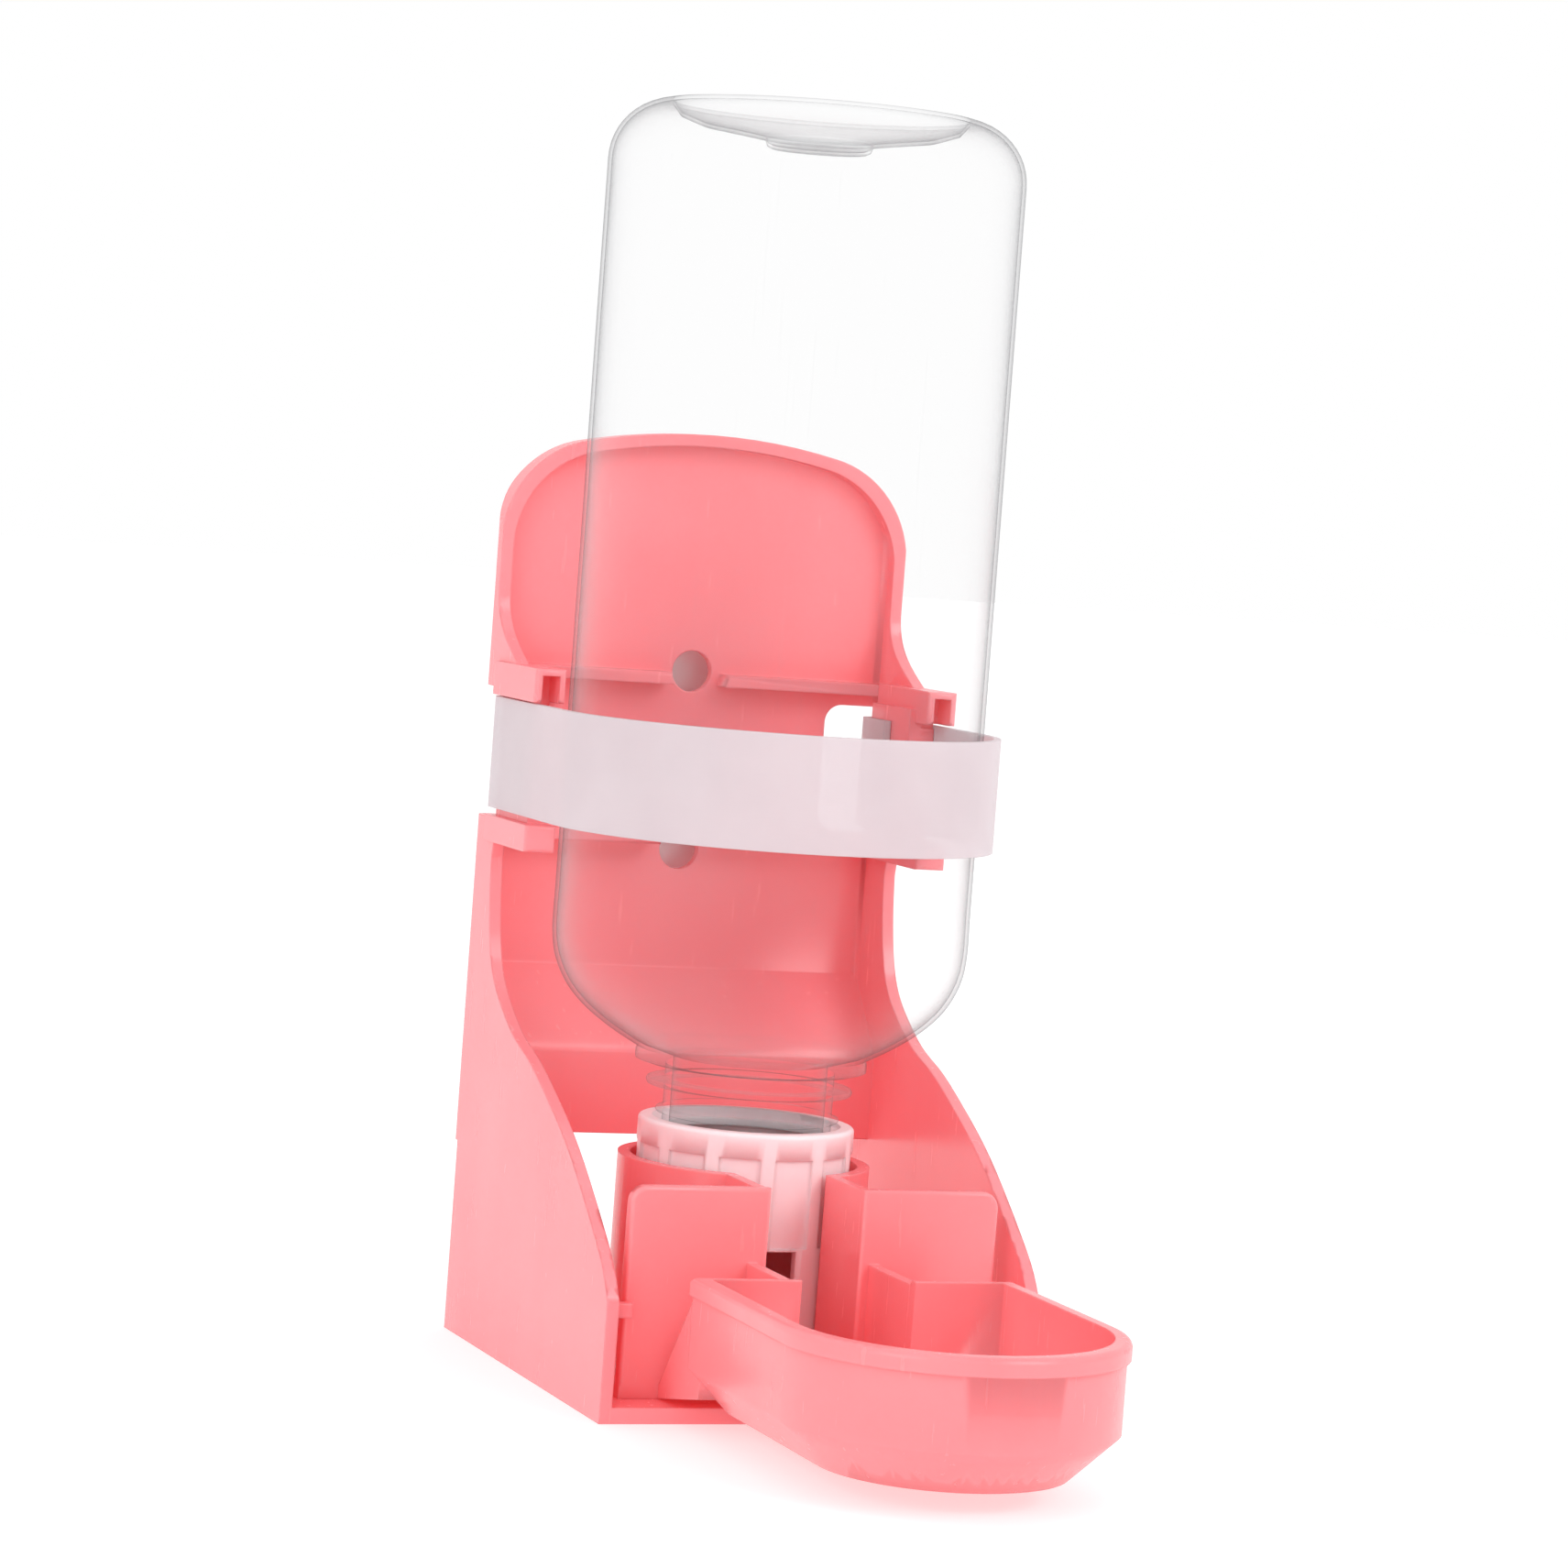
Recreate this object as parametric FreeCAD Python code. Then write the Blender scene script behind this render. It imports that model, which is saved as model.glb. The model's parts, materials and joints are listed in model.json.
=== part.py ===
import FreeCAD, Part
import math
import os

os.makedirs("parts", exist_ok=True)
V = FreeCAD.Vector

# Rabbit water bottle with a trough: a clear bottle stands upside down on its cap in a plastic holder,
# and a drinking bowl in front is fed through a channel. Millimetres, +Z up, -Y is the drinking side.
# The origin is on the bottle's axis, on the underside of the holder's floor.

# ---- driving dimensions -------------------------------------------------------------------------
BOTTLE_R = 33.5          # body radius of the bottle
BOTTLE_TOP = 204.0       # height of the upturned bottle's base
BOTTLE_WALL = 0.6
NECK_WALL = 1.2
BASE_CORNER = 10.0       # corner radius at the bottle's base
SHOULDER_Z = 70.5        # where the cylinder turns into the shoulder
SHOULDER_DROP = 18.0     # height of the shoulder
NECK_R = 13.7
THREAD_RISE = 1.2        # how far a thread ridge stands out of the neck

WALL = 2.0               # wall of the holder and the trough
BOTTLE_GAP = 0.5         # between the bottle and each side wall
HOLDER_HALF = BOTTLE_R + BOTTLE_GAP + WALL
HEAD_GAP = 5.4           # between the bottle and the clamp screw's head
HEAD_T = 2.1
PANEL_T = 1.8            # back panel
PANEL_IN = BOTTLE_R + HEAD_GAP + HEAD_T   # front face of the back panel
HOLDER_BACK = PANEL_IN + PANEL_T
HOLDER_FRONT = 40.5      # front edge of the floor and side walls
KNEE_Z = 18.5            # where the side walls' front edge starts to sweep back
REAR_CUT = 3.6           # the side walls stop this far short of the back at the foot
REAR_CUT_TOP = 31.5      # up to this height
FLOOR = 2.5
PANEL_TOP = 151.5
CORNER_R = 3.0           # upright rear corners
OPEN_BELOW = 34.5        # the back is open below this height
STEP_TOP = 61.5          # where the back panel steps forward under the bottle's shoulder
STEP_IN = 10.7           # how far it steps
RIM_IN = 4.9             # how far the arched edge stands forward
RIB_IN = 4.6             # how far the two cross ribs stand forward
BAND_LOW, BAND_HIGH = 86.0, 107.5   # windows for the strap
BRIDGE_HALF = 24.7       # half width of the panel between the windows
WINDOW_CORNER = 3.0
EAR_FRONT = 12.6
EAR_OUT = 0.8            # how far the ears stand out of the side walls
EAR_IN = 2.4             # how far the ears stand into the holder
EAR_WALL = 1.1           # the upper ears are hollow in front of the bars
EAR_BACK = HOLDER_BACK - 8.0    # the ears run back to here
BAR_IN = 1.0             # how far the bars under the strap are set back
BAR_T = 4.5
BAR_FRONT = EAR_FRONT + 5.4
BAR_BACK = HOLDER_BACK - 8.6
WINDOW_FRONT = HOLDER_BACK - 12.8   # the strap's windows run from here round the rear corners
STRAP_GAP = 0.1

STRAP_T = 1.2
STRAP_TAIL = 9.0         # how far the strap's ends turn back along the bars
STRAP_LOW, STRAP_HIGH = 87.7, 106.0

FRONT_PANEL_HALF = HOLDER_HALF - WALL - 3.3
FRONT_PANEL_Y = 31.6     # rear face of the upright panels
CLIP_Z = 15.5
CLIP_GAP = 0.4           # between the panels and the clips in front of them
TROUGH_GAP = 16.9        # between the upright panels and the bowl
BOWL_HALF = 26.0
BOWL_BACK = FRONT_PANEL_Y + WALL + TROUGH_GAP
BOWL_STRAIGHT = BOWL_BACK + 37.5   # the sides run straight to here, then a half round closes the front
RIM_Z = 24.5
BOWL_CHAMFER = 7.0
BOWL_RAISE = 1.2         # the bowl's underside above the trough's base
CHANNEL_HALF = 7.8       # between the panels
LOW_CHANNEL_HALF = 9.3   # between the panels and the bowl
CHANNEL_WALL = 1.8
CHANNEL_TOP = 23.8
GUSSET_OUT = 24.2        # outer face of the plates that close the sides of the gap behind the bowl
GUSSET_RISE = 3.4        # how far their foot rises towards the bowl
COLLAR_TOP = 35.3

CAP_WALL = 2.3
THREAD_GAP = 0.3
CAP_R = NECK_R + THREAD_RISE + THREAD_GAP + CAP_WALL
SKIRT_T = 1.8            # wall of the skirt under the disc
CAP_TOP = 41.5
GASKET_T = 2.2
CAP_DISC = 23.9          # underside of the disc that closes the cap
CAP_DISC_T = 2.0
MOUTH_Z = CAP_DISC + CAP_DISC_T + GASKET_T   # the bottle's mouth, on the gasket
OUTLET_HALF = 3.5        # half width of the notches in the cap's skirt
CAP_RIBS = 12
COLLAR_GAP = 0.9         # round the cap in the collar
STAND_GAP = 0.2          # under the cap and under the plunger
STEM_R = 2.4
RUN = 0.07               # radial running clearance
VALVE_LIFT = 2.5         # how far the seal stands off its seat in use
POST_TOP = 10.3

BOLT_R = 3.0
BOLT_HEAD_R = 6.0
SCREW_GAP = 0.15         # round the screw in the holder
CLAMP_Z = 96.5
WIRE_GAP = 4.4           # room for the cage's wires behind the holder
PLATE_HALF, PLATE_LOW, PLATE_HIGH = 14.0, 74.5, 118.5
PLATE_T = 1.6
HOLE_R = 3.5             # the two screw holes above and below the strap
HOLE_ZS = (BAND_LOW - 4.3, BAND_HIGH + 4.2)


# ---- shape helpers ------------------------------------------------------------------------------
def box(x0, x1, y0, y1, z0, z1):
    return Part.makeBox(x1 - x0, y1 - y0, z1 - z0, V(x0, y0, z0))


def pair(x0, x1, y0, y1, z0, z1):
    """The same box on both sides of the middle."""
    return [box(x0, x1, y0, y1, z0, z1), box(-x1, -x0, y0, y1, z0, z1)]


def upright(r, z0, z1, x=0.0, y=0.0):
    return Part.makeCylinder(r, z1 - z0, V(x, y, z0))


def tube(r_out, r_in, z0, z1):
    return upright(r_out, z0, z1).cut(upright(r_in, z0 - 1, z1 + 1))


def along_y(r, y0, y1, z, x=0.0):
    return Part.makeCylinder(r, y1 - y0, V(x, y0, z), V(0, 1, 0))


def face(edges):
    return Part.Face(Part.Wire(edges))


def poly(points):
    return Part.Face(Part.makePolygon(points + [points[0]]))


def slab_x(points, x0, x1):
    """A Y-Z outline swept along X."""
    return poly([V(x0, y, z) for y, z in points]).extrude(V(x1 - x0, 0, 0))


def spline(points):
    curve = Part.BSplineCurve()
    curve.interpolate(points)
    return curve.toShape()


def line(a, b):
    return Part.LineSegment(a, b).toShape()


def arc(a, b, c):
    return Part.Arc(a, b, c).toShape()


def join(shapes):
    first = shapes[0]
    return first.multiFuse(shapes[1:]).removeSplitter() if len(shapes) > 1 else first


def rounded(shape, r, test):
    """Fillet the edges that the test picks."""
    return shape.makeFillet(r, [e for e in shape.Edges if test(e)])


def mid(e):
    return e.valueAt(0.5 * (e.FirstParameter + e.LastParameter))


def revolve(points_edges):
    return face(points_edges).revolve(V(0, 0, 0), V(0, 0, 1), 360)


# ---- holder -------------------------------------------------------------------------------------
def plan(half, back, r, front, z0, z1):
    """Rectangle with two round rear corners, raised from z0 to z1."""
    k = r * (1 - math.sqrt(0.5))
    p = [V(-half, -front, z0), V(half, -front, z0), V(half, back - r, z0), V(half - r, back, z0),
         V(r - half, back, z0), V(-half, back - r, z0)]
    edges = [line(p[0], p[1]), line(p[1], p[2]), arc(p[2], V(half - k, back - k, z0), p[3]),
             line(p[3], p[4]), arc(p[4], V(k - half, back - k, z0), p[5]), line(p[5], p[0])]
    return face(edges).extrude(V(0, 0, z1 - z0))


def side_profile():
    """Side view of the shell: low and deep in front, narrow behind the bottle, slim at the top."""
    x = -HOLDER_HALF - 5
    f, b, k = -HOLDER_FRONT, HOLDER_BACK, KNEE_Z
    low = [(f, k), (f + 1.3, k + 2.2), (f + 3.2, k + 4.7), (f + 8.0, k + 9.0), (f + 16.0, k + 15.0),
           (f + 25.0, k + 21.0), (f + 37.3, k + 27.3), (f + 47.3, k + 31.5), (f + 54.0, k + 33.6),
           (b - 23.0, k + 36.8), (b - 15.7, k + 42.6), (b - 12.1, k + 51.3), (b - 10.9, k + 61.0)]
    ear_top = BAND_HIGH + 4.3
    high = [(b - 17.5, ear_top), (b - 14.8, ear_top + 1.3), (b - 10.9, ear_top + 3.4),
            (b - 6.9, ear_top + 6.6), (b - RIM_IN, ear_top + 12.0)]
    end = HOLDER_BACK + 5
    pl = [V(x, y, z) for y, z in low]
    ph = [V(x, y, z) for y, z in high]
    edges = [line(V(x, end, 0), V(x, -HOLDER_FRONT, 0)), line(V(x, -HOLDER_FRONT, 0), pl[0]),
             spline(pl), line(pl[-1], ph[0]), spline(ph),
             line(ph[-1], V(x, b - RIM_IN, PANEL_TOP + 5)),
             line(V(x, b - RIM_IN, PANEL_TOP + 5), V(x, end, PANEL_TOP + 5)),
             line(V(x, end, PANEL_TOP + 5), V(x, end, 0))]
    return face(edges).extrude(V(2 * HOLDER_HALF + 10, 0, 0))


def arch(inset, y0, y1):
    """Front view of the back panel: upright sides, round shoulders, gently crowned top."""
    h, t = HOLDER_HALF - inset, PANEL_TOP - inset
    a = 22.0 - 0.4 * inset
    low, sag, drop = -5.0, 2.4, 17.0
    p = [V(-h, y0, low), V(h, y0, low), V(h, y0, t - drop), V(a, y0, t - sag), V(-a, y0, t - sag),
         V(-h, y0, t - drop)]
    bend_x, bend_z = a + 0.68 * (h - a), t - sag - 0.365 * (drop - sag)
    edges = [line(p[0], p[1]), line(p[1], p[2]), arc(p[2], V(bend_x, y0, bend_z), p[3]),
             arc(p[3], V(0, y0, t), p[4]), arc(p[4], V(-bend_x, y0, bend_z), p[5]), line(p[5], p[0])]
    return face(edges).extrude(V(0, y1 - y0, 0))


def holder():
    inside = HOLDER_HALF - WALL
    outer = plan(HOLDER_HALF, HOLDER_BACK, CORNER_R, HOLDER_FRONT, 0, PANEL_TOP)
    inner = plan(inside, PANEL_IN, CORNER_R - WALL, HOLDER_FRONT + 5, FLOOR, PANEL_TOP + 1)
    shell = outer.cut(inner).common(side_profile()).common(arch(0, -60, 60))
    # the arched edge stands forward of the panel
    band = arch(0, HOLDER_BACK - RIM_IN, HOLDER_BACK).cut(arch(WALL, 0, 2 * HOLDER_BACK))
    band = band.common(box(-99, 99, 0, 99, BAND_HIGH + 9, PANEL_TOP + 9))
    # open back under the step, windows for the strap
    far = HOLDER_BACK + 9
    shell = shell.cut(box(-99, 99, HOLDER_BACK - REAR_CUT, far, -1, REAR_CUT_TOP))
    shell = shell.cut(box(-inside, inside, PANEL_IN - STEP_IN, far, FLOOR, STEP_TOP - 3))
    for window in pair(BRIDGE_HALF, HOLDER_HALF + 9, WINDOW_FRONT, far, BAND_LOW, BAND_HIGH):
        shell = shell.cut(rounded(window, WINDOW_CORNER, lambda e: abs(abs(mid(e).x) - BRIDGE_HALF) < 0.01
                                  and abs(e.Length - far + WINDOW_FRONT) < 0.01))
    for slot in pair(HOLDER_HALF - BAR_IN, HOLDER_HALF + 9, 0, far, BAND_LOW, BAND_HIGH):
        shell = shell.cut(slot)
    nose, t = PANEL_IN - STEP_IN, STEP_TOP
    step = slab_x([(PANEL_IN, t), (nose + 1.9, t - 10.4), (nose + 0.6, t - 11.8), (nose, t - 13.4),
                   (nose, OPEN_BELOW), (nose + WALL, OPEN_BELOW), (nose + WALL, t - 13.8),
                   (nose + WALL + 1.1, t - 12.4), (HOLDER_BACK, t - 4), (HOLDER_BACK, t)],
                  -inside - 0.5, inside + 0.5)
    ears = []
    for z0, z1 in ((BAND_LOW - 3.8, BAND_LOW + 0.5), (BAND_HIGH - 1.2, BAND_HIGH + 4.3)):
        for ear in pair(inside - EAR_IN, HOLDER_HALF + EAR_OUT, EAR_FRONT, EAR_BACK, z0, z1):
            ears.append(rounded(ear, 0.8, lambda e: abs(mid(e).y - EAR_FRONT) < 0.01))
    top = BAND_HIGH + 4.3
    hollows = pair(inside - EAR_IN + EAR_WALL, HOLDER_HALF + EAR_OUT - EAR_WALL, EAR_FRONT - 1, BAR_FRONT,
                   BAND_HIGH - 2, top - EAR_WALL)
    bars = pair(HOLDER_HALF - BAR_IN - BAR_T, HOLDER_HALF - BAR_IN, BAR_FRONT - 0.5, BAR_BACK,
                BAND_LOW - 1, BAND_HIGH + 1)
    clip_y = -FRONT_PANEL_Y - WALL - CLIP_GAP
    clips = pair(FRONT_PANEL_HALF - 0.4, inside + 0.5, clip_y - 2.2, clip_y, CLIP_Z, CLIP_Z + 2.2)
    solid = shell.fuse(band).fuse(step).removeSplitter()
    for z in (BAND_LOW - 3.4, BAND_HIGH + 2):
        rib = box(-inside - 0.5, inside + 0.5, PANEL_IN - RIB_IN, PANEL_IN + 0.7, z, z + WALL)
        for hole_z in HOLE_ZS:
            rib = rib.cut(along_y(HOLE_R + 1.6, 0, PANEL_IN, hole_z))
        solid = solid.fuse(rib)
    solid = solid.removeSplitter().common(outer)
    for piece in ears + bars + clips:
        solid = solid.fuse(piece)
    solid = solid.removeSplitter()
    for hollow in hollows:
        solid = solid.cut(hollow)
    for z in HOLE_ZS:
        solid = solid.cut(along_y(HOLE_R, 0, far, z))
    return solid.cut(along_y(BOLT_R + SCREW_GAP, 0, far, CLAMP_Z))


# ---- trough -------------------------------------------------------------------------------------
def bowl_wire(inset, z, back):
    h, s = BOWL_HALF - inset, BOWL_STRAIGHT
    a, b, c, d = V(-h, -back, z), V(-h, -s, z), V(h, -s, z), V(h, -back, z)
    return Part.Wire([line(a, b), arc(b, V(0, -s - h, z), c), line(c, d), line(d, a)])


def bowl_block(inset, z0, z1, back):
    """Upright walls above, a chamfer all round below."""
    low = Part.makeLoft([bowl_wire(inset + BOWL_CHAMFER, z0, back),
                         bowl_wire(inset, z0 + BOWL_CHAMFER, back)], True, True)
    return low.fuse(Part.Face(bowl_wire(inset, z0 + BOWL_CHAMFER, back)).extrude(
        V(0, 0, z1 - z0 - BOWL_CHAMFER)))


def trough():
    z0 = FLOOR
    bowl_z = z0 + BOWL_RAISE
    collar_in = CAP_R + COLLAR_GAP
    collar_out = collar_in + WALL
    high_out, low_out = CHANNEL_HALF + CHANNEL_WALL, LOW_CHANNEL_HALF + CHANNEL_WALL
    panel_front = FRONT_PANEL_Y + WALL
    outer = bowl_block(0, bowl_z, RIM_Z - 0.6, BOWL_BACK)
    inner = bowl_block(WALL, bowl_z + WALL, RIM_Z + 5, BOWL_BACK + WALL)
    bead_z = RIM_Z - 2.8
    bead = Part.Face(bowl_wire(-0.6, bead_z, BOWL_BACK)).extrude(V(0, 0, 2.8))
    bead = rounded(bead, 1.1, lambda e: abs(mid(e).z - bead_z) > 0.01 and mid(e).z > RIM_Z - 0.01)
    bead = bead.cut(Part.Face(bowl_wire(WALL, bead_z - 1, BOWL_BACK + WALL)).extrude(V(0, 0, 6)))
    shell = join([outer, bead]).cut(inner)
    base = join([box(-FRONT_PANEL_HALF, FRONT_PANEL_HALF, -panel_front, -10, z0, z0 + WALL),
                 upright(collar_out, z0, z0 + WALL)])
    # the channel's floor rises to the bowl's
    path = [(-10, z0), (-panel_front, z0), (-BOWL_BACK - 1, bowl_z)]
    ramp = slab_x(path + [(y, z + WALL) for y, z in reversed(path)], -low_out, low_out)
    collar = tube(collar_out, collar_in, z0, COLLAR_TOP)
    high = pair(CHANNEL_HALF, high_out, -panel_front + 0.5, -16.0, z0, COLLAR_TOP)
    low = pair(LOW_CHANNEL_HALF, low_out, -BOWL_BACK - 0.5, -panel_front + 0.5, bowl_z, CHANNEL_TOP)
    panels = []
    for p in pair(CHANNEL_HALF, FRONT_PANEL_HALF, -panel_front, -FRONT_PANEL_Y, z0, COLLAR_TOP + 0.2):
        p = rounded(p, 2.6, lambda e: abs(mid(e).z - COLLAR_TOP - 0.2) < 0.01
                    and abs(abs(mid(e).x) - FRONT_PANEL_HALF) < 0.01)
        p = rounded(p, 0.6, lambda e: abs(mid(e).y + panel_front) < 0.01 and mid(e).z > z0 + 0.1)
        panels.append(p)
    # plates from the bowl's rear corners down to the panels' feet, and the shelf between them
    near, far, foot = -panel_front + 0.3, -BOWL_BACK - 0.6, z0 + GUSSET_RISE
    side = [(near, z0), (far, foot), (far, RIM_Z - 1.2), (far + 2.6, RIM_Z - 1.2), (near, z0 + WALL)]
    shelf = [(near, z0), (far, foot), (far, foot + WALL), (near, z0 + WALL)]
    gussets = [slab_x(side, s * (GUSSET_OUT - WALL), s * GUSSET_OUT) for s in (1, -1)]
    shelves = [slab_x(shelf, s * LOW_CHANNEL_HALF, s * GUSSET_OUT) for s in (1, -1)]
    solid = join([shell, base, ramp, collar] + high + low + panels + gussets + shelves)
    solid = solid.cut(upright(collar_in, z0 + WALL, 60))
    # the channel itself, and its gate into the bowl
    run = [(-10, z0 + WALL), (-panel_front, z0 + WALL), (-BOWL_BACK - 1, bowl_z + WALL),
           (-BOWL_BACK - 4, bowl_z + WALL), (-BOWL_BACK - 4, 60), (-10, 60)]
    solid = solid.cut(slab_x(run, -CHANNEL_HALF, CHANNEL_HALF))
    wide = [(-panel_front, z0 + WALL), (-BOWL_BACK - 1, bowl_z + WALL), (-BOWL_BACK - 4, bowl_z + WALL),
            (-BOWL_BACK - 4, 60), (-panel_front, 60)]
    solid = solid.cut(slab_x(wide, -LOW_CHANNEL_HALF, LOW_CHANNEL_HALF))
    return join([solid, upright(STEM_R, z0 + WALL - 0.5, POST_TOP)])


# ---- strap --------------------------------------------------------------------------------------
def strap():
    """Half round in front, straight sides, and ends that turn back round the holder's bars."""
    low, high, t = STRAP_LOW, STRAP_HIGH, STRAP_T
    outside = HOLDER_HALF - BAR_IN + STRAP_GAP
    inside = HOLDER_HALF - BAR_IN - BAR_T - STRAP_GAP
    r, x = 0.5 * (outside - inside), 0.5 * (outside + inside)
    pieces = [tube(outside + t, outside, low, high).common(box(-99, 99, -99, 0, low, high))]
    pieces += pair(outside, outside + t, 0, BAR_BACK, low, high)
    pieces += pair(inside - t, inside, BAR_BACK - STRAP_TAIL, BAR_BACK, low, high)
    for side in (1, -1):
        turn = upright(r + t, low, high, side * x, BAR_BACK).cut(upright(r, low, high, side * x, BAR_BACK))
        pieces.append(turn.common(box(-99, 99, BAR_BACK, 99, low, high)))
    return join(pieces)


# ---- bottle and cap -----------------------------------------------------------------------------
def shoulder(t):
    """Shoulder from the cylinder down to the neck, t inside the outer skin."""
    low_r = NECK_R + 4.7
    shape = [(1.0, 1.0), (0.950, 0.756), (0.815, 0.522), (0.609, 0.333), (0.331, 0.161), (0.0, 0.0)]
    pts = [(low_r + a * (BOTTLE_R - low_r), SHOULDER_Z - (1 - b) * SHOULDER_DROP) for a, b in shape]
    out = []
    for i, (r, z) in enumerate(pts):
        a, b = pts[max(i - 1, 0)], pts[min(i + 1, len(pts) - 1)]
        tr, tz = (0.0, -1.0) if i == 0 else (b[0] - a[0], b[1] - a[1])
        n = math.hypot(tr, tz)
        out.append(V(r + t * tz / n, 0, z - t * tr / n))
    return out


def bottle():
    w, top, c = BOTTLE_WALL, BOTTLE_TOP, BASE_CORNER
    so, si = shoulder(0), shoulder(w)
    k = c * (1 - math.sqrt(0.5))
    ci = c - w
    ki = ci * (1 - math.sqrt(0.5))
    neck_in = NECK_R - NECK_WALL
    dent = 6.0                   # depth of the hollow in the base
    dent_r = 8.5
    ring_r = NECK_R + 5.0
    z_ring = so[-1].z - 1.9      # support ring under the shoulder
    deep = top - dent            # the hollow's outer face
    edge = BOTTLE_R - c
    outer = [line(V(0, 0, deep), V(dent_r, 0, deep)),
             line(V(dent_r, 0, deep), V(edge, 0, top)),
             arc(V(edge, 0, top), V(BOTTLE_R - k, 0, top - k), V(BOTTLE_R, 0, top - c)),
             line(V(BOTTLE_R, 0, top - c), so[0]), spline(so),
             line(so[-1], V(ring_r, 0, z_ring + 1.4)),
             line(V(ring_r, 0, z_ring + 1.4), V(ring_r, 0, z_ring)),
             line(V(ring_r, 0, z_ring), V(NECK_R, 0, z_ring - 0.6)),
             line(V(NECK_R, 0, z_ring - 0.6), V(NECK_R, 0, MOUTH_Z)),
             line(V(NECK_R, 0, MOUTH_Z), V(neck_in, 0, MOUTH_Z))]
    wide = BOTTLE_R - w
    inner = [line(V(neck_in, 0, MOUTH_Z), V(neck_in, 0, si[-1].z - 1.2)),
             line(V(neck_in, 0, si[-1].z - 1.2), si[-1]), spline(list(reversed(si))),
             line(si[0], V(wide, 0, top - c)),
             arc(V(wide, 0, top - c), V(wide - ki, 0, top - w - ki), V(edge, 0, top - w)),
             line(V(edge, 0, top - w), V(dent_r, 0, deep - w)),
             line(V(dent_r, 0, deep - w), V(0, 0, deep - w)),
             line(V(0, 0, deep - w), V(0, 0, deep))]
    body = revolve(outer + inner)
    rings = [(NECK_R + 3.0, z_ring - 4.1, 1.2)]
    rings += [(NECK_R + THREAD_RISE, z, 1.2) for z in THREAD_ZS]
    for r, z, h in rings:
        ring = tube(r, NECK_R - 0.4, z, z + h)
        body = body.fuse(rounded(ring, 0.4, lambda e: abs(e.Length - 2 * math.pi * r) < 0.1))
    return body.removeSplitter()


THREAD_ZS = [CAP_TOP - 9.6, CAP_TOP - 5.0, CAP_TOP + 0.4]


def cap():
    foot = FLOOR + WALL + STAND_GAP
    inside = NECK_R + THREAD_RISE + THREAD_GAP
    disc_top = CAP_DISC + CAP_DISC_T
    body = upright(CAP_R, foot, CAP_TOP)
    body = rounded(body, 0.7, lambda e: abs(mid(e).z - CAP_TOP) < 0.01)
    body = body.cut(upright(inside, disc_top, CAP_TOP + 1)).cut(upright(CAP_R - SKIRT_T, foot - 1, CAP_DISC))
    # grip panels between upright ribs
    panel_low, panel_high = CAP_DISC - 0.6, CAP_TOP - 4.0
    step = 360.0 / CAP_RIBS
    for i in range(CAP_RIBS):
        cutter = tube(CAP_R + 1, CAP_R - 0.55, panel_low, panel_high)
        wedge = Part.makeBox(8, 6.7, 60, V(CAP_R - 5, -3.35, 0))
        wedge.rotate(V(0, 0, 0), V(0, 0, 1), i * step + 7.0)
        body = body.cut(cutter.common(wedge))
    # four outlets leave four legs to stand on
    for i in range(4):
        gap = box(8, CAP_R + 2, -OUTLET_HALF, OUTLET_HALF, foot - 1, CAP_DISC - 1.0)
        gap.rotate(V(0, 0, 0), V(0, 0, 1), 90 * i)
        body = body.cut(gap)
    # inner ridges that catch the neck's ridges
    ridges = [tube(inside + 0.3, NECK_R + THREAD_GAP, z + THREAD_RISE + 0.9, z + THREAD_RISE + 2.1)
              for z in THREAD_ZS[:2]]
    body = join([body] + ridges)
    body = body.cut(upright(STEM_R + RUN, CAP_DISC - 1, disc_top + 1))
    for i in range(6):
        a = math.radians(60 * i + 30)
        body = body.cut(upright(1.2, CAP_DISC - 1, disc_top + 1, 4.9 * math.cos(a), 4.9 * math.sin(a)))
    return body


def gasket():
    low = CAP_DISC + CAP_DISC_T
    return tube(NECK_R + THREAD_RISE, NECK_R - 4.7, low, MOUTH_Z - 0.02)


def plunger():
    tip = POST_TOP + STAND_GAP
    seat = CAP_DISC + CAP_DISC_T
    seal_low = seat + VALVE_LIFT
    stem = upright(STEM_R, tip, seal_low + 1.4)
    stem = rounded(stem, 0.6, lambda e: abs(mid(e).z - tip) < 0.01)
    return join([stem, upright(4.2, tip + 3.0, tip + 4.4), upright(6.8, seal_low + 1.2, seal_low + 2.6)])


def valve_seal():
    low = CAP_DISC + CAP_DISC_T + VALVE_LIFT
    return tube(6.8, STEM_R, low, low + 1.2)


def spring():
    """Coil between the plunger's collar and the cap's disc."""
    wire_r, coil_r = 0.3, 3.3
    z0 = POST_TOP + STAND_GAP + 4.4 + wire_r + 0.05
    z1 = CAP_DISC - wire_r - 0.05
    turns = 5.0
    helix = Part.makeLongHelix((z1 - z0) / turns, z1 - z0, coil_r)
    helix.translate(V(0, 0, z0))
    circle = Part.Wire([Part.makeCircle(wire_r, V(coil_r, 0, z0), V(0, 1, 0))])
    return Part.Wire(helix.Edges).makePipeShell([circle], True, True)


# ---- cage clamp ---------------------------------------------------------------------------------
def clamp_bolt():
    head_back = PANEL_IN
    head = along_y(BOLT_HEAD_R, head_back - HEAD_T, head_back, CLAMP_Z)
    head = rounded(head, 0.9, lambda e: abs(mid(e).y - head_back + HEAD_T) < 0.01)
    return join([head, along_y(BOLT_R, head_back - 0.5, HOLDER_BACK + WIRE_GAP + 15.5, CLAMP_Z)])


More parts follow.
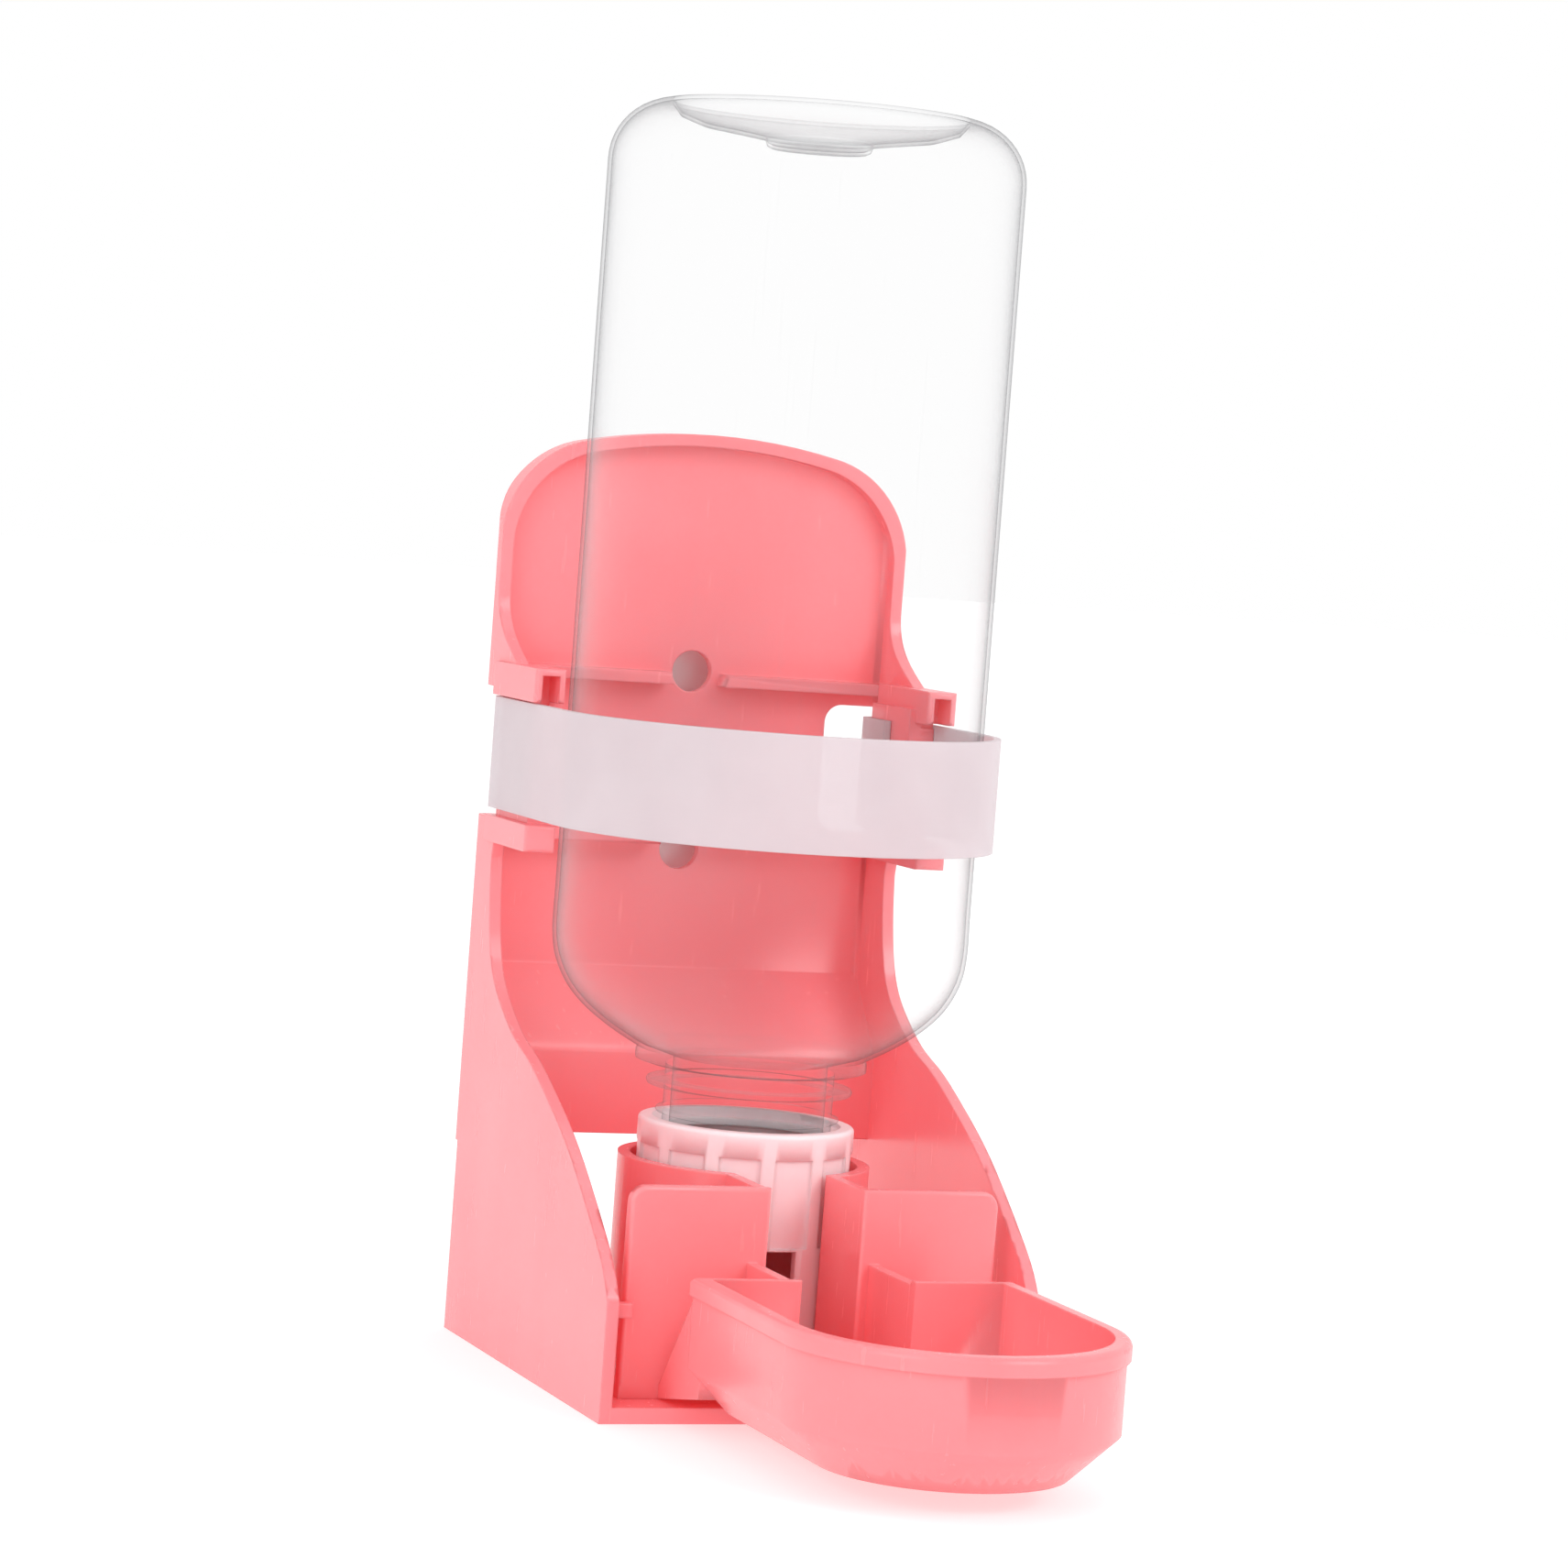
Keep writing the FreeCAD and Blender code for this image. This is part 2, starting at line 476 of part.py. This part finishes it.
def clamp_plate():
    y0 = HOLDER_BACK + WIRE_GAP
    plate = box(-PLATE_HALF, PLATE_HALF, y0, y0 + PLATE_T, PLATE_LOW, PLATE_HIGH)
    plate = rounded(plate, 3.0, lambda e: abs(e.Length - PLATE_T) < 0.01)
    lips = [box(-PLATE_HALF + 3, PLATE_HALF - 3, y0, y0 + 4, PLATE_LOW, PLATE_LOW + PLATE_T),
            box(-PLATE_HALF + 3, PLATE_HALF - 3, y0, y0 + 4, PLATE_HIGH - PLATE_T, PLATE_HIGH)]
    return join([plate] + lips).cut(along_y(BOLT_R + RUN, 0, 99, CLAMP_Z))


def washer():
    y0 = HOLDER_BACK + WIRE_GAP + PLATE_T
    return along_y(6.5, y0, y0 + 1.0, CLAMP_Z).cut(along_y(BOLT_R + RUN, 0, 99, CLAMP_Z))


def wing_nut():
    y0 = HOLDER_BACK + WIRE_GAP + PLATE_T + 1.0 + 0.15
    hub = Part.makeCone(5.6, 4.6, 6.0, V(0, y0, CLAMP_Z), V(0, 1, 0))
    wings = []
    for s in (1, -1):
        outline = [V(s * 3.5, y0 + 1.0, CLAMP_Z - 1), V(s * 14.0, y0 + 6.5, CLAMP_Z - 1),
                   V(s * 15.0, y0 + 12.0, CLAMP_Z - 1), V(s * 9.5, y0 + 12.5, CLAMP_Z - 1),
                   V(s * 3.5, y0 + 5.8, CLAMP_Z - 1)]
        wings.append(poly(outline).extrude(V(0, 0, 2)))
    return join([hub] + wings).cut(along_y(BOLT_R + RUN, 0, 99, CLAMP_Z))


NODES = {"holder": holder, "trough": trough, "strap": strap, "bottle": bottle, "cap": cap,
         "gasket": gasket, "plunger": plunger, "valve_seal": valve_seal, "spring": spring,
         "clamp_bolt": clamp_bolt, "clamp_plate": clamp_plate, "washer": washer, "wing_nut": wing_nut}

for name, make in NODES.items():
    shape = make()
    if shape.ShapeType == "Compound" and len(shape.Solids) == 1:
        shape = shape.Solids[0]
    b = shape.BoundBox
    print(name, "solids", len(shape.Solids), "valid", shape.isValid(), "vol %.0f" % shape.Volume,
          "box", [round(v, 1) for v in (b.XMin, b.XMax, b.YMin, b.YMax, b.ZMin, b.ZMax)])
    shape.exportStep("parts/%s.step" % name)
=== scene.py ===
import json
import math

import bmesh
import bpy
from mathutils import Matrix, Vector

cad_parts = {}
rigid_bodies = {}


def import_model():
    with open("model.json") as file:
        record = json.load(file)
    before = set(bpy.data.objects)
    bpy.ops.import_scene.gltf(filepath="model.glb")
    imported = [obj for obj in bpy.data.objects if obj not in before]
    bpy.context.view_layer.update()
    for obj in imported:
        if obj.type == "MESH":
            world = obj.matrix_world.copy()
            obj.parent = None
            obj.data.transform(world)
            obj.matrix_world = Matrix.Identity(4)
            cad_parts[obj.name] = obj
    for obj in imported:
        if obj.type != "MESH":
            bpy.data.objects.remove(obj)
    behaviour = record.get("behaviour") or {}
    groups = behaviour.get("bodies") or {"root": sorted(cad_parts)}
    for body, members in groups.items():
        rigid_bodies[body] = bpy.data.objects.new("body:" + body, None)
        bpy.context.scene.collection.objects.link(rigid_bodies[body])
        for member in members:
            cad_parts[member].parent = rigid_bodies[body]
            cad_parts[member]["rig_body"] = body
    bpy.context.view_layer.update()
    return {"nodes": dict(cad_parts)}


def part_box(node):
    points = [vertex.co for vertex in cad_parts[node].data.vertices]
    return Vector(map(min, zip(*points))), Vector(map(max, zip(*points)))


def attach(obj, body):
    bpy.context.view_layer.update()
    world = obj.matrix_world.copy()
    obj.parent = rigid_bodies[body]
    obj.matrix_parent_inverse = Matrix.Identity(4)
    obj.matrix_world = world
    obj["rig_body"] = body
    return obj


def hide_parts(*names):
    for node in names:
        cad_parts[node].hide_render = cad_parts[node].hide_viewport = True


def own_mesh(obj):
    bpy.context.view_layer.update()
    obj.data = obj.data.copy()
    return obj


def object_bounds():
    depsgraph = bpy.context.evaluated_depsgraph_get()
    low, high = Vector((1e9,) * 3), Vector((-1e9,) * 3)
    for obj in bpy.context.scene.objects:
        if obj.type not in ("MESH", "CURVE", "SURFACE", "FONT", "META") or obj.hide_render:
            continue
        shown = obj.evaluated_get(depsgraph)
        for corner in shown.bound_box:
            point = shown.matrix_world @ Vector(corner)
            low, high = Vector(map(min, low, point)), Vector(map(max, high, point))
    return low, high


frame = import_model()

# Rabbit water bottle: a clear bottle stands on its valve cap in a plastic holder, held by a strap, and
# feeds a drinking bowl in front. Lengths below are in millimetres until mm() turns them into metres.
MM = 0.001


def mm(*values):
    return Vector([v * MM for v in values])


# ---- node maths and materials -------------------------------------------------------------------
class Maths:
    """A socket that adds Math nodes when it meets an operator."""

    def __init__(self, recipe, socket):
        self.recipe, self.socket = recipe, socket

    def _join(self, operation, first, second):
        return self.recipe.node("ShaderNodeMath", {"operation": operation}, [first, second])

    def __add__(self, other):
        return self._join("ADD", self, other)

    def __mul__(self, other):
        return self._join("MULTIPLY", self, other)

    def __pow__(self, other):
        return self._join("POWER", self, other)

    def clamp(self):
        return self.recipe.node("ShaderNodeClamp", {}, [self])

    __radd__, __rmul__ = __add__, __mul__


class Recipe:
    """A material under construction."""

    def __init__(self, name):
        self.material = bpy.data.materials.new(name)
        self.material.use_nodes = True
        self.tree = self.material.node_tree
        self.tree.nodes.clear()
        self.place = self.node("ShaderNodeTexCoord", {}, {}, output="Object")

    def node(self, kind, settings, inputs, output=0):
        """Adds a node: settings first, then the values or links of its sockets."""
        made = self.tree.nodes.new(kind)
        for key, value in settings.items():
            setattr(made, key, value)
        pairs = inputs.items() if isinstance(inputs, dict) else enumerate(inputs)
        for key, value in pairs:
            if isinstance(value, Maths):
                self.tree.links.new(value.socket, made.inputs[key])
            else:
                made.inputs[key].default_value = value
        return Maths(self, made.outputs[output])

    def stretched(self, x, y, z):
        return self.node("ShaderNodeMapping", {}, {"Vector": self.place, "Scale": (x, y, z)})

    def noise(self, scale, detail=2.0, place=None):
        """Grey noise of about 0.5, scale in waves to the metre."""
        return self.node("ShaderNodeTexNoise", {},
                         {"Vector": place or self.place, "Scale": scale, "Detail": detail})

    def blend(self, factor, first, second):
        return self.node("ShaderNodeMix", {"data_type": "RGBA"}, {0: factor, 6: first, 7: second}, 2)

    def ramp(self, factor, low, high):
        """0 below low, 1 above high."""
        return self.node("ShaderNodeMapRange", {}, {0: factor, 1: low, 2: high})

    def bump(self, height, depth_mm, normal=None):
        inputs = {"Height": height, "Distance": depth_mm * MM, "Strength": 1.0}
        if normal:
            inputs["Normal"] = normal
        return self.node("ShaderNodeBump", {}, inputs)

    def soft_edges(self, radius_mm):
        return self.node("ShaderNodeBevel", {"samples": 6}, {"Radius": radius_mm * MM})

    def principled(self, **inputs):
        named = {key.replace("_", " "): value for key, value in inputs.items()}
        return self.node("ShaderNodeBsdfPrincipled", {}, named)

    def finish(self, shader):
        out = self.tree.nodes.new("ShaderNodeOutputMaterial")
        self.tree.links.new(shader.socket, out.inputs["Surface"])
        return self.material


def srgb(red, green, blue):
    """Colour given on the 0-255 scale, as the linear values a shader takes."""
    def linear(c):
        c /= 255.0
        return c / 12.92 if c <= 0.04045 else ((c + 0.055) / 1.055) ** 2.4
    return (linear(red), linear(green), linear(blue), 1.0)


def pink_plastic(name, body, deep, glow):
    """Glossy moulded plastic that lets some light into its skin, with a faint red painted glow given as
    emission.
    """
    r = Recipe(name)
    clouds = r.noise(28.0, 3.0)
    flow = r.noise(1.0, 2.0, r.stretched(60.0, 60.0, 14.0))
    tint = r.blend(r.ramp(clouds * 0.6 + flow * 0.4, 0.35, 0.68), body, deep)
    scuffs = r.ramp(r.noise(1.0, 4.0, r.stretched(900.0, 900.0, 90.0)), 0.64, 0.78)
    tint = r.blend(scuffs * 0.03, tint, srgb(255, 236, 236))
    grain = r.noise(900.0, 3.0)
    swell = r.noise(55.0, 1.0)
    normal = r.bump(grain, 0.012, r.bump(swell, 0.12, r.soft_edges(0.45)))
    # the faint red emission is a painted glow, standing in for light bounced around inside the pink
    # mouldings
    skin = r.principled(Base_Color=tint, Roughness=0.18 + 0.10 * clouds + scuffs * 0.15, Normal=normal,
                        IOR=1.53, Subsurface_Weight=glow, Subsurface_Radius=(1.0, 0.40, 0.34),
                        Subsurface_Scale=0.0035, Emission_Color=srgb(255, 40, 34),
                        Emission_Strength=0.05)
    through = r.node("ShaderNodeBsdfTranslucent", {}, {"Color": srgb(255, 148, 146), "Normal": normal})
    return r.finish(r.node("ShaderNodeMixShader", {}, [0.10 + 0.05 * clouds, skin, through]))


def frosted_band(name):
    """Soft milky plastic, a little see-through, with the faint draw marks of an extruded band."""
    r = Recipe(name)
    marks = r.noise(1.0, 3.0, r.stretched(40.0, 40.0, 1400.0))
    haze = r.noise(60.0, 3.0)
    tint = r.blend(haze, srgb(214, 200, 205), srgb(223, 211, 215))
    normal = r.bump(marks, 0.02, r.bump(r.noise(1500.0), 0.004, r.soft_edges(0.25)))
    skin = r.principled(Base_Color=tint, Roughness=0.46 + 0.16 * haze, Normal=normal, IOR=1.5,
                        Alpha=0.76 + 0.06 * haze, Subsurface_Weight=0.25,
                        Subsurface_Radius=(1.0, 0.9, 0.9), Subsurface_Scale=0.003)
    return r.finish(skin)


def pale_plastic(name, body, glow=0.35):
    r = Recipe(name)
    clouds = r.noise(120.0, 3.0)
    tint = r.blend(clouds, body, tuple(c * 0.93 for c in body[:3]) + (1.0,))
    normal = r.bump(r.noise(1600.0, 2.0), 0.006, r.soft_edges(0.35))
    skin = r.principled(Base_Color=tint, Roughness=0.30 + 0.14 * clouds, Normal=normal, IOR=1.5,
                        Subsurface_Weight=glow, Subsurface_Radius=(1.0, 0.55, 0.5), Subsurface_Scale=0.004)
    return r.finish(skin)


def clear_shell(name):
    """Thin clear plastic: see-through face on, with a dark line and some gloss where it is edge on.

    The line is weaker on the neck, whose ridges are mostly seen edge on.
    """
    r = Recipe(name)
    scratches = r.ramp(r.noise(1.0, 4.0, r.stretched(1300.0, 1300.0, 22.0)), 0.66, 0.80)
    haze = r.ramp(r.noise(45.0, 4.0), 0.45, 0.78)
    ripple = r.noise(1.0, 2.0, r.stretched(90.0, 90.0, 26.0))
    normal = r.bump(ripple, 0.22, r.bump(scratches, 0.02))
    facing = r.node("ShaderNodeLayerWeight", {}, {"Blend": 0.5, "Normal": normal}, "Facing")
    clear = r.node("ShaderNodeBsdfTransparent", {}, {"Color": (0.996, 0.996, 0.996, 1.0)})
    shade = r.node("ShaderNodeBsdfTransparent", {}, {"Color": (0.42, 0.42, 0.43, 1.0)})
    height = r.node("ShaderNodeSeparateXYZ", {}, [r.place], "Z")
    rim = (1.2 * facing ** 9.0 * (0.70 + 0.30 * r.ramp(height, 0.049, 0.054))).clamp()
    body = r.node("ShaderNodeMixShader", {}, [rim, clear, shade])
    gloss = r.principled(Base_Color=srgb(226, 226, 228), Roughness=0.05 + 0.25 * scratches + 0.06 * haze,
                         Normal=normal, IOR=1.55, Specular_IOR_Level=0.8)
    share = (0.004 + 0.006 * haze + 0.05 * scratches + 0.32 * facing ** 4.0).clamp()
    return r.finish(r.node("ShaderNodeMixShader", {}, [share, body, gloss]))


def rubber(name, body):
    r = Recipe(name)
    dust = r.noise(300.0, 4.0)
    tint = r.blend(dust * 0.5, body, srgb(150, 146, 142))
    skin = r.principled(Base_Color=tint, Roughness=0.62 + 0.2 * dust, IOR=1.5,
                        Normal=r.bump(r.noise(2500.0, 2.0), 0.02))
    return r.finish(skin)


def plated_steel(name):
    """Pale zinc plating with fine brushing and a few dull patches."""
    r = Recipe(name)
    brush = r.noise(1.0, 3.0, r.stretched(2500.0, 2500.0, 120.0))
    patch = r.noise(140.0, 4.0)
    tint = r.blend(patch, srgb(236, 231, 231), srgb(220, 216, 218))
    skin = r.principled(Base_Color=tint, Metallic=0.35, Roughness=0.28 + 0.22 * patch + 0.1 * brush,
                        Normal=r.bump(brush, 0.008, r.soft_edges(0.3)))
    return r.finish(skin)


HOLDER_PINK = pink_plastic("holder pink", srgb(255, 154, 160), srgb(254, 145, 152), 0.35)
TROUGH_PINK = pink_plastic("trough pink", srgb(255, 152, 157), srgb(254, 143, 149), 0.35)
BAND = frosted_band("frosted band")
CLEAR = clear_shell("clear bottle")
CAP_PINK = pale_plastic("pale cap", srgb(254, 231, 234))
VALVE_WHITE = pale_plastic("valve white", srgb(238, 238, 235), 0.2)
GASKET = rubber("gasket", srgb(226, 216, 212))
SEAL = rubber("seal", srgb(196, 190, 186))
STEEL = plated_steel("plated steel")


# ---- making pieces ------------------------------------------------------------------------------
def into_object(bm, name, material, smooth_deg=35.0):
    mesh = bpy.data.meshes.new(name)
    bm.to_mesh(mesh)
    bm.free()
    piece = bpy.data.objects.new(name, mesh)
    bpy.context.scene.collection.objects.link(piece)
    mesh.materials.append(material)
    for face in mesh.polygons:
        face.use_smooth = True
    mesh.set_sharp_from_angle(angle=math.radians(smooth_deg))
    even = piece.modifiers.new("even shading", "WEIGHTED_NORMAL")
    even.keep_sharp = True
    return piece


def stand_in(piece, node):
    """The piece is shown in place of a CAD node and moves with that node's body."""
    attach(piece, frame["nodes"][node]["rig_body"])
    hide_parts(node)
    return piece


def finished(node, name, material, smooth_deg=28.0):
    """A copy of a CAD node, with doubles merged and flat triangles joined, so that it shades smoothly."""
    bm = bmesh.new()
    bm.from_mesh(frame["nodes"][node].data)
    bmesh.ops.remove_doubles(bm, verts=bm.verts, dist=0.002 * MM)
    bmesh.ops.dissolve_degenerate(bm, edges=bm.edges, dist=0.001 * MM)
    bmesh.ops.dissolve_limit(bm, angle_limit=math.radians(0.3), verts=bm.verts, edges=bm.edges,
                             delimit={"NORMAL"})
    return stand_in(into_object(bm, name, material, smooth_deg), node)


def bend(centre, radius, start_deg, end_deg, steps):
    """Points of a round corner in the radius-height plane."""
    out = []
    for i in range(steps + 1):
        a = math.radians(start_deg + (end_deg - start_deg) * i / steps)
        out.append((centre[0] + radius * math.cos(a), centre[1] + radius * math.sin(a)))
    return out


def turned(outline, steps):
    """Spins a closed radius-height outline about the bottle's axis."""
    bm = bmesh.new()
    ring = [bm.verts.new(mm(r, 0, z)) for r, z in outline]
    edges = [bm.edges.new((a, b)) for a, b in zip(ring, ring[1:] + ring[:1])
             if a.co.x > 1e-7 or b.co.x > 1e-7]
    bmesh.ops.spin(bm, geom=ring + edges, cent=(0, 0, 0), axis=(0, 0, 1), angle=2 * math.pi, steps=steps,
                   use_merge=True)
    bmesh.ops.remove_doubles(bm, verts=bm.verts, dist=0.001 * MM)
    bmesh.ops.recalc_face_normals(bm, faces=bm.faces)
    return bm


def smooth_run(points, count):
    """Catmull-Rom curve through the points, count steps a span."""
    p = [points[0]] + list(points) + [points[-1]]
    out = []
    for i in range(1, len(p) - 2):
        for k in range(count):
            t = k / count
            out.append(tuple(
                0.5 * (2 * p[i][a] + (p[i + 1][a] - p[i - 1][a]) * t
                       + (2 * p[i - 1][a] - 5 * p[i][a] + 4 * p[i + 1][a] - p[i + 2][a]) * t ** 2
                       + (3 * p[i][a] - p[i - 1][a] - 3 * p[i + 1][a] + p[i + 2][a]) * t ** 3)
                for a in (0, 1)))
    return out + [points[-1]]


# ---- bottle -------------------------------------------------------------------------------------
BODY_R = 33.5
BODY_WALL, NECK_WALL = 0.6, 1.2
BASE_CORNER = 10.0       # corner radius at the base
NECK_R = 13.7
SHOULDER_Z = 70.5        # where the body turns into the shoulder
RING_Z = SHOULDER_Z - 19.9      # underside of the support ring
RIDGE_ZS = (41.9, 36.5, 31.9)   # feet of the thread ridges
RIDGE_OUT, RIDGE_HIGH = 1.2, 1.2
# radius and height of the shoulder, from its start, and of the dished base, from the bottle's top
SHOULDER = [(33.5, 6.0), (33.5, 0.0), (32.75, -4.4), (30.7, -8.6), (27.6, -12.0), (23.4, -15.1),
            (18.4, -18.0)]
DISH = [(0, -6.0), (7.6, -6.0), (8.3, -5.7), (8.7, -4.7), (13.0, -4.0), (19.0, -3.1), (22.4, -1.9),
        (23.6, -0.4)]


def make_bottle():
    """One closed outline, down the outside and back up the inside, turned about the axis."""
    low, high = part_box("bottle")
    body_r, top, mouth = high.x / MM, high.z / MM, low.z / MM
    neck, ring_z = NECK_R, RING_Z
    k = body_r / BODY_R
    side = smooth_run([(r * k, SHOULDER_Z + z) for r, z in SHOULDER], 6)
    dish = [(r, top + z) for r, z in DISH]
    centre = (body_r - BASE_CORNER, top - BASE_CORNER)
    outer = dish + bend(centre, BASE_CORNER, 88, 0, 12)
    outer += [(body_r, top - 60), (body_r, SHOULDER_Z + 40)] + side
    outer += [(18.7, ring_z + 1.4), (18.7, ring_z + 0.1), (17.0, ring_z - 0.4), (neck, ring_z - 0.6)]
    outer += [(neck, ring_z - 2.8), (16.5, ring_z - 3.0), (16.7, ring_z - 3.4), (16.5, ring_z - 3.9),
              (neck, ring_z - 4.1)]
    for z in RIDGE_ZS:
        outer += [(neck, z + RIDGE_HIGH), (neck + 1.0, z + 0.9), (neck + RIDGE_OUT, z + 0.6),
                  (neck + 1.0, z + 0.3), (neck, z)]
    outer += [(neck, mouth), (neck - NECK_WALL, mouth)]
    inner = [(neck - NECK_WALL, ring_z + 0.7), (17.9, ring_z + 2.4)]
    inner += [(r - BODY_WALL, z + 0.35) for r, z in reversed(side[:-2])]
    inner += bend(centre, BASE_CORNER - BODY_WALL, 0, 88, 12)
    inner += [(r, z - BODY_WALL) for r, z in reversed(dish)]
    piece = into_object(turned(outer + inner, 128), "clear_bottle", CLEAR, 32.0)
    return stand_in(piece, "bottle")


make_bottle()
finished("holder", "holder_moulding", HOLDER_PINK)
finished("trough", "trough_moulding", TROUGH_PINK)
finished("strap", "strap_band", BAND)
finished("cap", "valve_cap", CAP_PINK)
finished("gasket", "cap_gasket", GASKET)
finished("plunger", "valve_plunger", VALVE_WHITE)
finished("valve_seal", "plunger_seal", SEAL)
# the spring gets a mesh of its own; the real spring shortens as the plunger rises, with its upper end on
# the cap's disc
coil = finished("spring", "valve_spring", STEEL, 60.0)
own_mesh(coil)
for hardware in ("clamp_bolt", "clamp_plate", "washer", "wing_nut"):
    finished(hardware, "steel_" + hardware, STEEL)


# ---- floor, light and camera --------------------------------------------------------------------
def make_floor():
    bm = bmesh.new()
    bmesh.ops.create_grid(bm, x_segments=2, y_segments=2, size=6.0)
    r = Recipe("studio floor")
    tone = r.blend(r.noise(3.0), (0.60, 0.60, 0.60, 1.0), (0.62, 0.62, 0.62, 1.0))
    paper = r.principled(Base_Color=tone, Roughness=0.9, Emission_Color=(1.0, 1.0, 1.0, 1.0),
                         Emission_Strength=0.50, Specular_IOR_Level=0.1)
    floor = into_object(bm, "studio_floor", r.finish(paper))
    floor.location.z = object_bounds()[0][2]


def softbox(name, place, aim, size, watts):
    data = bpy.data.lights.new(name, "AREA")
    data.shape, data.size, data.energy = "DISK", size, watts
    lamp = bpy.data.objects.new(name, data)
    bpy.context.scene.collection.objects.link(lamp)
    lamp.location = place
    lamp.rotation_euler = (Vector(aim) - Vector(place)).to_track_quat("-Z", "Y").to_euler()


def make_light():
    world = bpy.data.worlds.new("studio")
    bpy.context.scene.world = world
    world.use_nodes = True
    world.node_tree.nodes["Background"].inputs["Color"].default_value = (1.0, 1.0, 1.0, 1.0)
    world.node_tree.nodes["Background"].inputs["Strength"].default_value = 1.0
    softbox("key", (0.9, -1.3, 1.2), (0, 0, 0.08), 0.9, 9.0)
    softbox("fill", (-1.2, -0.9, 0.7), (0, 0, 0.08), 0.8, 4.0)
    bpy.context.scene.view_settings.view_transform = "Standard"


def make_camera():
    """Stands to the object's left at bottle height, tilted a little down and rolled."""
    yaw, pitch, roll = math.radians(21.3), math.radians(3.4), math.radians(4.3)
    distance, aside, height = 790.0, 2.0, 143.1
    level = Vector((math.sin(yaw), math.cos(yaw), 0))
    right = Vector((math.cos(yaw), -math.sin(yaw), 0))
    ahead = level * math.cos(pitch) - Vector((0, 0, math.sin(pitch)))
    up = right.cross(ahead)
    side = right * math.cos(roll) + up * math.sin(roll)
    top = up * math.cos(roll) - right * math.sin(roll)
    data = bpy.data.cameras.new("camera")
    data.sensor_width, data.lens = 36.0, 112.9
    data.clip_start = 0.01
    camera = bpy.data.objects.new("camera", data)
    bpy.context.scene.collection.objects.link(camera)
    place = (right * aside - level * distance) * MM
    place.z = height * MM
    camera.matrix_world = Matrix.Translation(place) @ Matrix((side, top, -ahead)).transposed().to_4x4()
    bpy.context.scene.camera = camera


make_floor()
make_light()
make_camera()
